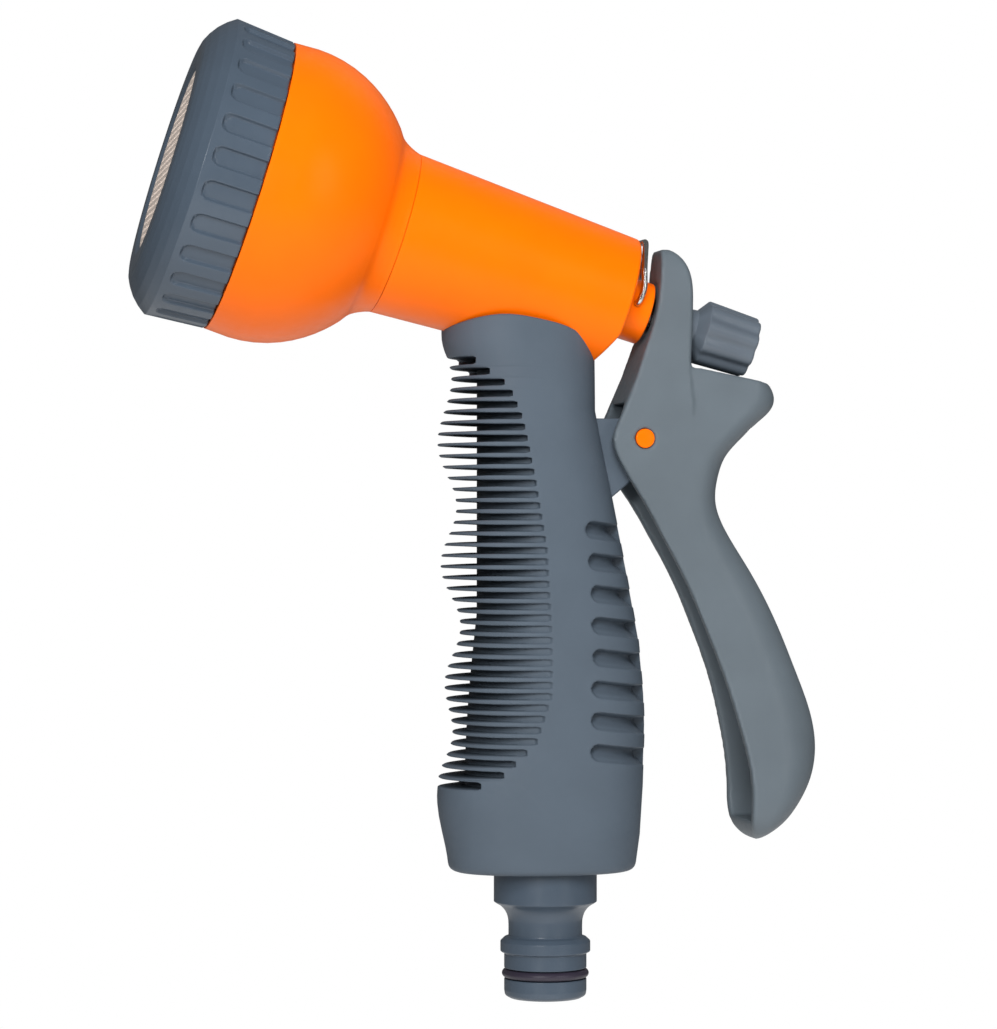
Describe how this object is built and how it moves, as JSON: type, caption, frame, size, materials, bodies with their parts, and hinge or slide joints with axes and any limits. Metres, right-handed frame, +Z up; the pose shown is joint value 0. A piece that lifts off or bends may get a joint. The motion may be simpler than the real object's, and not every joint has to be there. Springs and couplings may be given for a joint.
{
  "type": "hose spray nozzle",
  "caption": "Pistol-grip garden hose nozzle with a wide shower head, a rear squeeze lever, a flow knob and a quick-connect nipple.",
  "frame": {"origin": "centre of the nipple's nose end face", "axes": "+Z up along the nipple and grip, -X the spraying direction, Y = 0 the plane of symmetry"},
  "size_m": [0.137, 0.06, 0.1918],
  "materials": {
    "bell_orange": "satin moulded",
    "ring_grey": "satin moulded",
    "grip_grey": "soft touch",
    "lever_grey": "fine texture",
    "plate_grey": "matte",
    "black_rubber": "matte",
    "steel": "drawn wire",
    "white_plastic": "matte"
  },
  "bodies": {
    "nozzle_body": {"spray_bell": "bell_orange", "barrel": "bell_orange", "grip_sleeve": "grip_grey", "diffuser_disc": "white_plastic", "gland_nut": "bell_orange", "gland_o_ring": "black_rubber", "stem_o_ring": "black_rubber", "pivot_pin": "bell_orange", "hose_nipple": "ring_grey", "nipple_o_ring": "black_rubber", "pipe_o_ring": "black_rubber", "return_spring": "steel"},
    "trigger": {"trigger_lever": "lever_grey"},
    "valve": {"valve_stem": "steel", "valve_head": "white_plastic", "valve_washer": "black_rubber", "head_screw": "steel"},
    "washer": {"thrust_washer": "steel"},
    "knob": {"flow_knob": "ring_grey"},
    "bail": {"lock_bail": "steel"},
    "spray_face": {"spray_plate": "plate_grey", "face_seal": "black_rubber"},
    "ring": {"face_ring": "ring_grey"}
  },
  "joints": [
    {"name": "trigger_squeeze", "type": "hinge", "parent": "nozzle_body", "child": "trigger", "pos_m": [0.0183, 0, 0.1105], "axis": [0, 1, 0], "range_deg": [0, 13.3], "stiffness_Nm_per_rad": 2, "springref_deg": -17.19},
    {"name": "stem_slide", "type": "slide", "parent": "nozzle_body", "child": "valve", "axis": [0.9563, 0, -0.2924], "range_m": [0, 0.0057], "deforming": ["return_spring"]},
    {"name": "knob_travel", "type": "slide", "parent": "valve", "child": "washer", "axis": [0.9563, 0, -0.2924], "range_m": [0, 0.0025]},
    {"name": "knob_turn", "type": "hinge", "parent": "washer", "child": "knob", "pos_m": [0.03472, 0, 0.13095], "axis": [0.9563, 0, -0.2924], "range_deg": [0, 900]},
    {"name": "bail_swing", "type": "hinge", "parent": "nozzle_body", "child": "bail", "pos_m": [0.0172, 0, 0.1372], "axis": [0, 1, 0], "range_deg": [0, 47]},
    {"name": "face_slide", "type": "slide", "parent": "nozzle_body", "child": "spray_face", "axis": [-0.9563, 0, 0.2924], "range_m": [0, 0.0031]},
    {"name": "ring_turn", "type": "hinge", "parent": "spray_face", "child": "ring", "pos_m": [-0.06474, 0, 0.16135], "axis": [-0.9563, 0, 0.2924], "range_deg": [0, 360]}
  ],
  "couplings": [
    {"joint": "stem_slide", "follows": "trigger_squeeze", "m_per_rad": 0.02435},
    {"joint": "bail_swing", "follows": "trigger_squeeze", "ratio": 3.5},
    {"joint": "knob_turn", "follows": "knob_travel", "rad_per_m": 6283.2},
    {"joint": "face_slide", "follows": "ring_turn", "m_per_rad": 0.00047746}
  ]
}
